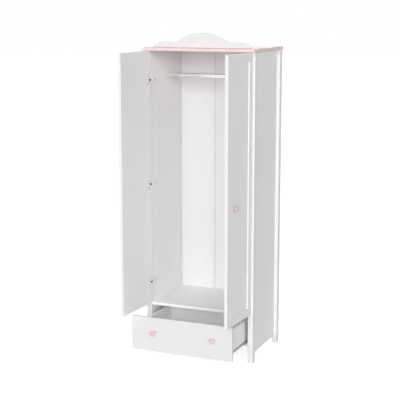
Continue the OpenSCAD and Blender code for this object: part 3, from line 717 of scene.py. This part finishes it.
@dataclass
class Carcass:
    """Posts, panels, boards and back.

    Attributes:
        half: half the width over the posts.
        inner: half the width between the posts.
        depth: depth over the posts.
        post_d: depth of one post.
        foot: height of the posts' lower ends, above the foot glides.
        under: height of the top board's lower face.
        top_t: thickness of the top board.
        top_side: the top's overhang at each side.
        top_front: its overhang at the front.
        panel_t: thickness of the side panels.
        panel_z: height of their lower edge.
        back_y: front face of the back panels.
        back_t: their thickness.
        back_gap: their gap below the top board.
        rebate: width of the rebate that takes them in the back posts.
        lap: how far they reach into it.
        joint: distance of the back's two joints from the middle.
        web: half the gap that a joint strip fills.
        shelf_y: front edge of the shelf.
        shelf_z: height of its lower and upper face.
        low_z: height of the lower stretcher's two faces.
        low_d: depth of the lower stretcher.
        rail_t: thickness of the back rail.
    """

    shop: Workshop
    half: float = 373.0
    inner: float = 338.0
    depth: float = 510.0
    post_d: float = 42.0
    foot: float = 3.0
    under: float = 1980.0
    top_t: float = 20.0
    top_side: float = 5.0
    top_front: float = 30.0
    panel_t: float = 16.0
    panel_z: float = 53.0
    back_y: float = 496.0
    back_t: float = 4.0
    back_gap: float = 0.5
    rebate: float = 10.0
    lap: float = 9.5
    joint: float = 91.4
    web: float = 1.1
    shelf_y: float = 11.0
    shelf_z: Pair = (314.0, 332.0)
    low_z: Pair = (100.0, 118.0)
    low_d: float = 70.0
    rail_t: float = 18.0

    TOP_SEGMENTS: ClassVar[int] = 4

    def posts(self) -> None:
        """Makes the four posts; the back ones are rebated for the back panels."""
        i, h, d, p, b = self.inner, self.half, self.depth, self.post_d, self.back_y
        r = i + self.rebate
        front = [(i, 0), (h, 0), (h, p), (i, p)]
        back = [(i, d - p), (h, d - p), (h, d), (r, d), (r, b), (i, b)]
        for side in Side:
            for word, outline in (("front", front), ("back", back)):
                bm = prism(outline, self.foot, self.under)
                ease(bm, Edge.POST)
                if side is Side.LEFT:
                    flip_x(bm)
                node = f"post_{word}_{side.word}"
                # The posts wear a darker copy of the white lacquer: painted shade.
                self.shop.piece(node + "_squared", bm, Body.CARCASS, Slot.WHITE, node,
                                finish="post_lacquer_painted_shade")

    def back_panel(self, word: str, low_x: float, high_x: float) -> None:
        """Makes one of the three back panels.

        Args:
            word: which panel it is.
            low_x: its left edge.
            high_x: its right edge.
        """
        self.shop.board(f"back_panel_{word}", Body.CARCASS, (low_x, self.back_y, self.panel_z),
                        (high_x, self.back_y + self.back_t, self.under - self.back_gap),
                        Edge.SHEET, Slot.HARDBOARD)

    def panels(self) -> None:
        """Makes the side panels and the back panels."""
        for side in Side:
            low_x, high_x = side.span(self.inner, self.inner + self.panel_t)
            self.shop.board(f"side_panel_{side.word}", Body.CARCASS,
                            (low_x, self.post_d, self.panel_z),
                            (high_x, self.depth - self.post_d, self.under), Edge.PANEL)
            self.back_panel(side.word, *side.span(self.joint + self.web, self.inner + self.lap))
        self.back_panel("middle", self.web - self.joint, self.joint - self.web)

    def boards(self) -> None:
        """Makes the shelf, the lower stretcher and the back rail."""
        i, p, b = self.inner, self.post_d, self.back_y
        shelf_low, shelf_high = self.shelf_z
        low, high = self.low_z
        # The shelf wears the lighter copy of the white lacquer: painted light.
        self.shop.board("bottom_shelf", Body.CARCASS, (-i, self.shelf_y, shelf_low),
                        (i, b, shelf_high), Edge.BOARD, finish="inner_lacquer_painted_light")
        self.shop.board("front_stretcher", Body.CARCASS, (-i, p, low), (i, p + self.low_d, high),
                        Edge.BOARD)
        self.shop.board("back_rail", Body.CARCASS, (-i, b - self.rail_t, self.panel_z),
                        (i, b, high), Edge.BOARD)

    def top(self) -> None:
        """Makes the coloured top board, with a softened edge."""
        reach = self.half + self.top_side
        bm = slab((-reach, -self.top_front, self.under),
                  (reach, self.depth, self.under + self.top_t))
        ease(bm, Edge.TOP, self.TOP_SEGMENTS)
        self.shop.piece("top_board_eased", bm, Body.CARCASS, Slot.PINK, "top_board")

    def crest(self) -> None:
        """Makes the crest board on the top."""
        # The crest wears the darker copy of the white lacquer: painted shade.
        self.shop.piece("crest_board_shaped", Crest().mesh(), Body.CARCASS, Slot.WHITE,
                        "crest_board", finish="front_lacquer_painted_shade")

    def build(self) -> None:
        """Builds all boards of the carcass."""
        self.posts()
        self.panels()
        self.boards()
        self.top()
        self.crest()


@dataclass
class Door:
    """One door with a sunk outer field and a knob, drawn closed and turned to its shown angle.

    Attributes:
        angle: how far it stands open, in degrees.
        edge: distance of its hinged edge from the middle.
        free: distance of its free edge.
        outer: its outer face.
        face: its inner face.
        low: height of its lower edge.
        high: height of its upper edge.
        sunk: depth of the field.
        stile: width of the border beside the field.
        rail: width of the border above and below it.
        pivot: X and Y of the hinge line.
        knob_in: distance of the knob from the free edge.
        knob_z: the knob's height.
        knob_head: radius of its head.
    """

    shop: Workshop
    side: Side
    angle: float
    edge: float = 358.0
    free: float = 1.5
    outer: float = -24.0
    face: float = -3.0
    low: float = 328.0
    high: float = 1978.0
    sunk: float = 6.0
    stile: float = 46.0
    rail: float = 53.0
    pivot: Pair = (350.0, -15.0)
    knob_in: float = 90.0
    knob_z: float = 1063.0
    knob_head: float = 23.5

    def turned(self, bm: bmesh.types.BMesh) -> bmesh.types.BMesh:
        """Turns a closed right-hand mesh about the hinge line, and mirrors it for the left door.

        Args:
            bm: the mesh drawn closed.

        Returns:
            The mesh in its shown place.
        """
        centre = Vector((self.pivot[0] * MM, self.pivot[1] * MM - HALF_DEPTH, 0))
        turn = Matrix.Rotation(math.radians(self.angle), 3, "Z")
        bmesh.ops.rotate(bm, verts=bm.verts[:], cent=centre, matrix=turn)
        return flip_x(bm) if self.side is Side.LEFT else bm

    def leaf(self) -> bmesh.types.BMesh:
        """Cuts the block along the stiles and rails and sinks the field.

        Returns:
            The leaf, closed.
        """
        bm = slab((self.free, self.outer, self.low), (self.edge, self.face, self.high))
        cuts = [((x * MM, 0, 0), (1, 0, 0)) for x in (self.free + self.stile, self.edge - self.stile)]
        cuts += [((0, 0, z * MM), (0, 0, 1)) for z in (self.low + self.rail, self.high - self.rail)]
        for place, normal in cuts:
            bmesh.ops.bisect_plane(bm, geom=bm.verts[:] + bm.edges[:] + bm.faces[:],
                                   plane_co=place, plane_no=normal)
        bm.normal_update()
        middle = Vector(((self.free + self.edge) / 2 * MM, self.outer * MM - HALF_DEPTH,
                         (self.low + self.high) / 2 * MM))
        fronts = [f for f in bm.faces if f.normal.y < -FACING]
        panel = min(fronts, key=lambda f: (f.calc_center_median() - middle).length)
        grown = bmesh.ops.extrude_face_region(bm, geom=[panel])
        moved = [g for g in grown["geom"] if isinstance(g, bmesh.types.BMVert)]
        bmesh.ops.translate(bm, vec=(0, self.sunk * MM, 0), verts=moved)
        if panel.is_valid:
            bmesh.ops.delete(bm, geom=[panel], context="FACES_ONLY")
        bmesh.ops.recalc_face_normals(bm, faces=bm.faces[:])
        ease(bm, Edge.LEAF)
        return bm

    def build(self) -> None:
        """Builds the leaf and its knob."""
        body = Body.LEFT_DOOR if self.side is Side.LEFT else Body.RIGHT_DOOR
        word = self.side.word
        self.shop.piece(f"door_{word}_panelled", self.turned(self.leaf()), body, Slot.WHITE,
                        f"door_leaf_{word}")
        knob = Knob(self.knob_head)
        turned = self.turned(knob.mesh(self.free + self.knob_in, self.outer + self.sunk, self.knob_z))
        self.shop.piece(f"door_knob_{word}_turned", turned, body, Slot.PINK, f"door_knob_{word}",
                        smooth=True, finish="pink_knob")


@dataclass
class Drawer:
    """The drawer box, drawn closed and pulled out.

    Attributes:
        out: how far it is pulled out.
        outer: outer face of its front.
        face: inner face of its front, where the box begins.
        front_half: half the width of the front.
        front_z: heights of the front's lower and upper edge.
        box_half: half the width over the sides.
        box_t: thickness of the sides.
        box_end: rear end of the box.
        side_z: heights of the sides' edges.
        back_t: thickness of the back.
        back_z: heights of the back's edges.
        bottom_z: heights of the bottom's two faces.
        knob_x: X of the left and the right knob.
        knob_z: the knobs' height.
        knob_head: radius of their heads.
    """

    shop: Workshop
    out: float = 266.0
    outer: float = -21.0
    face: float = -3.0
    front_half: float = 343.0
    front_z: Pair = (99.0, 321.0)
    box_half: float = 308.0
    box_t: float = 16.0
    box_end: float = 482.0
    side_z: Pair = (121.0, 270.0)
    back_t: float = 12.0
    back_z: Pair = (135.0, 262.0)
    bottom_z: Pair = (131.1, 134.9)
    knob_x: Pair = (-182.0, 222.0)
    knob_z: float = 226.0
    knob_head: float = 18.0

    def board(self, node: str, xs: Pair, ys: Pair, zs: Pair, edge: Edge,
              slot: Slot = Slot.WHITE, finish: str = "") -> None:
        """Makes one drawer board, pulled out with the drawer.

        Args:
            node: the CAD node's name.
            xs: its left and right face.
            ys: its front and rear face, with the drawer closed.
            zs: its lower and upper face.
            edge: how its edges are rounded.
            slot: the material slot.
            finish: a finish of its own, where it isn't the slot's.
        """
        low, high = ((x, y - self.out, z) for x, y, z in zip(xs, ys, zs))
        self.shop.board(node, Body.DRAWER, low, high, edge, slot, finish)

    def build(self) -> None:
        """Builds the drawer's boards and knobs."""
        inside = self.box_half - self.box_t
        within, length = (-inside, inside), (self.face, self.box_end)
        # The drawer front wears the darker copy of the white lacquer: painted shade.
        self.board("drawer_front", (-self.front_half, self.front_half), (self.outer, self.face),
                   self.front_z, Edge.FRONT, finish="front_lacquer_painted_shade")
        # The drawer's sides and back wear the lighter copy of the white lacquer: painted light.
        for side in Side:
            self.board(f"drawer_side_{side.word}", side.span(inside, self.box_half), length,
                       self.side_z, Edge.BOARD, finish="inner_lacquer_painted_light")
        self.board("drawer_back", within, (self.box_end - self.back_t, self.box_end), self.back_z,
                   Edge.BOARD, finish="inner_lacquer_painted_light")
        self.board("drawer_bottom", within, length, self.bottom_z, Edge.BOTTOM, Slot.HARDBOARD)
        for side, x in zip(Side, self.knob_x):
            knob = Knob(self.knob_head).mesh(x, self.outer - self.out, self.knob_z)
            self.shop.piece(f"drawer_knob_{side.word}_turned", knob, Body.DRAWER, Slot.PINK,
                            "drawer_knobs", smooth=True, finish="pink_knob")


@dataclass
class Fittings:
    """The metal and hidden fittings, which keep their CAD shape and get a finish."""

    palette: Palette

    # The hinge plates and screws take the lighter copy of the nickel steel, which is painted light.
    OWN: ClassVar[dict[str, str]] = {
        "hinge_arms": "hinge_arm",
        "hinge_plates": "bright_plate_painted_light",
        "plate_screws": "bright_plate_painted_light",
        "cup_screws": "bright_plate_painted_light",
        "rail_holders": "chrome",
    }

    def build(self) -> None:
        """Dresses every CAD node with its own finish or its record slot's."""
        slots = {s["node"]: s["material_slot"] for s in frame["record"]["subparts"]}
        for name, obj in sorted(frame["nodes"].items()):
            own = [finish for start, finish in self.OWN.items() if name.startswith(start)]
            self.palette.dress(obj, own[0] if own else slots[name])
            if not obj.hide_render:
                LOG.info("%s: fitting in %s", name, slots[name])


@dataclass(frozen=True)
class Lamp:
    """One broad sun lamp: its strength, and the bearing, height and spread of its light in degrees."""

    name: str
    energy: float
    azimuth: float
    height: float
    spread: float

    def aim(self) -> Vector:
        """Works out which way the light travels.

        Returns:
            The direction, of length one.
        """
        turn, rise = math.radians(self.azimuth), math.radians(self.height)
        level = math.cos(rise)
        return Vector((-math.sin(turn) * level, math.cos(turn) * level, -math.sin(rise)))


@dataclass
class Studio:
    """Camera, lamps, floor and world, with lengths in metres and angles in degrees."""

    eye: Triple = (2.6199, -6.4006, 2.2684)
    pitch: float = 79.60
    yaw: float = 23.03
    lens: float = 96.06
    sensor: float = 36.0
    clip: Pair = (0.05, 200.0)
    sky: float = 0.05
    floor_reach: float = 40.0
    floor_grey: float = 0.8
    floor_rough: float = 0.9
    floor_glow: float = 0.74
    lights: tuple[Lamp, ...] = (
        Lamp("front", 1.58, 8, 12, 40),
        Lamp("key", 0.5, 35, 11, 20),
        Lamp("side", 0.58, 50, 14, 25),
        Lamp("right", 0.19, 85, 15, 30),
        Lamp("top", 0.26, 10, 45, 40),
        Lamp("rear", 1.75, 188, 14, 40),
        Lamp("left", 1.3, 262, 14, 40),
    )

    def camera(self) -> None:
        """Places the camera at the photograph's viewpoint."""
        data = bpy.data.cameras.new("camera")
        data.lens, data.sensor_width = self.lens, self.sensor
        data.clip_start, data.clip_end = self.clip
        obj = bpy.data.objects.new("camera", data)
        obj.location = self.eye
        obj.rotation_euler = (math.radians(self.pitch), 0.0, math.radians(self.yaw))
        bpy.context.scene.collection.objects.link(obj)
        bpy.context.scene.camera = obj

    @staticmethod
    def seen(nodes: bpy.types.Nodes, links: bpy.types.NodeLinks) -> Socket:
        """Makes a factor that is one for camera, glossy and transmission rays.

        Args:
            nodes: the tree's nodes.
            links: the tree's links.

        Returns:
            The factor's socket.
        """
        path = nodes.new("ShaderNodeLightPath")
        last = path.outputs["Is Camera Ray"]
        for name in ("Is Glossy Ray", "Is Transmission Ray"):
            either = nodes.new("ShaderNodeMath")
            either.operation = "MAXIMUM"
            links.new(last, either.inputs[0])
            links.new(path.outputs[name], either.inputs[1])
            last = either.outputs[0]
        return last

    def world(self) -> None:
        """Makes a white surround that is dimmer as a light than as a background."""
        world = bpy.data.worlds.new("surround")
        bpy.context.scene.world = world
        world.use_nodes = True
        nodes, links = world.node_tree.nodes, world.node_tree.links
        lit, shown = nodes["Background"], nodes.new("ShaderNodeBackground")
        for background, strength in ((lit, self.sky), (shown, 1.0)):
            background.inputs["Color"].default_value = WHITE
            background.inputs["Strength"].default_value = strength
        mix = nodes.new("ShaderNodeMixShader")
        links.new(self.seen(nodes, links), mix.inputs["Fac"])
        links.new(lit.outputs[0], mix.inputs[1])
        links.new(shown.outputs[0], mix.inputs[2])
        links.new(mix.outputs[0], nodes["World Output"].inputs["Surface"])

    def floor(self) -> None:
        """Lays a pale floor that reads as white but keeps a soft shadow."""
        bm = bmesh.new()
        bmesh.ops.create_grid(bm, x_segments=2, y_segments=2, size=self.floor_reach)
        mesh = bpy.data.meshes.new("floor")
        bm.to_mesh(mesh)
        bm.free()
        obj = bpy.data.objects.new("floor", mesh)
        bpy.context.scene.collection.objects.link(obj)
        tree = NodeTree("pale_floor")
        tree.set(Roughness=self.floor_rough, Specular_IOR_Level=0.0)
        tree.shader.inputs["Base Color"].default_value = (*[self.floor_grey] * 3, 1.0)
        glow = tree.nodes.new("ShaderNodeEmission")
        glow.inputs["Strength"].default_value = self.floor_glow
        add = tree.nodes.new("ShaderNodeAddShader")
        mix = tree.nodes.new("ShaderNodeMixShader")
        tree.links.new(tree.shader.outputs[0], add.inputs[0])
        tree.links.new(glow.outputs[0], add.inputs[1])
        tree.links.new(self.seen(tree.nodes, tree.links), mix.inputs["Fac"])
        tree.links.new(tree.shader.outputs[0], mix.inputs[1])
        tree.links.new(add.outputs[0], mix.inputs[2])
        tree.links.new(mix.outputs[0], tree.nodes["Material Output"].inputs["Surface"])
        mesh.materials.append(tree.material)

    def lamps(self) -> None:
        """Hangs the broad lamps all round the wardrobe."""
        for lamp in self.lights:
            data = bpy.data.lights.new(lamp.name, "SUN")
            data.energy, data.angle = lamp.energy, math.radians(lamp.spread)
            obj = bpy.data.objects.new(lamp.name, data)
            obj.rotation_euler = lamp.aim().to_track_quat("-Z", "Y").to_euler()
            bpy.context.scene.collection.objects.link(obj)

    def build(self) -> None:
        """Sets up the whole studio."""
        bpy.context.scene.view_settings.view_transform = "Standard"
        self.camera()
        self.world()
        self.floor()
        self.lamps()


def main() -> None:
    """Builds every sub-assembly in order."""
    logging.basicConfig(level=logging.INFO, format="%(name)s: %(message)s")
    palette = Palette()
    shop = Workshop(palette)
    builders: list[Callable[[], None]] = [
        Studio().build,
        Carcass(shop).build,
        Door(shop, Side.LEFT, angle=93.7).build,
        Door(shop, Side.RIGHT, angle=86.8).build,
        Drawer(shop).build,
        Fittings(palette).build,
    ]
    for build in builders:
        build()
    LOG.info("%d shaped pieces", shop.count)


if __name__ == "__main__":
    main()
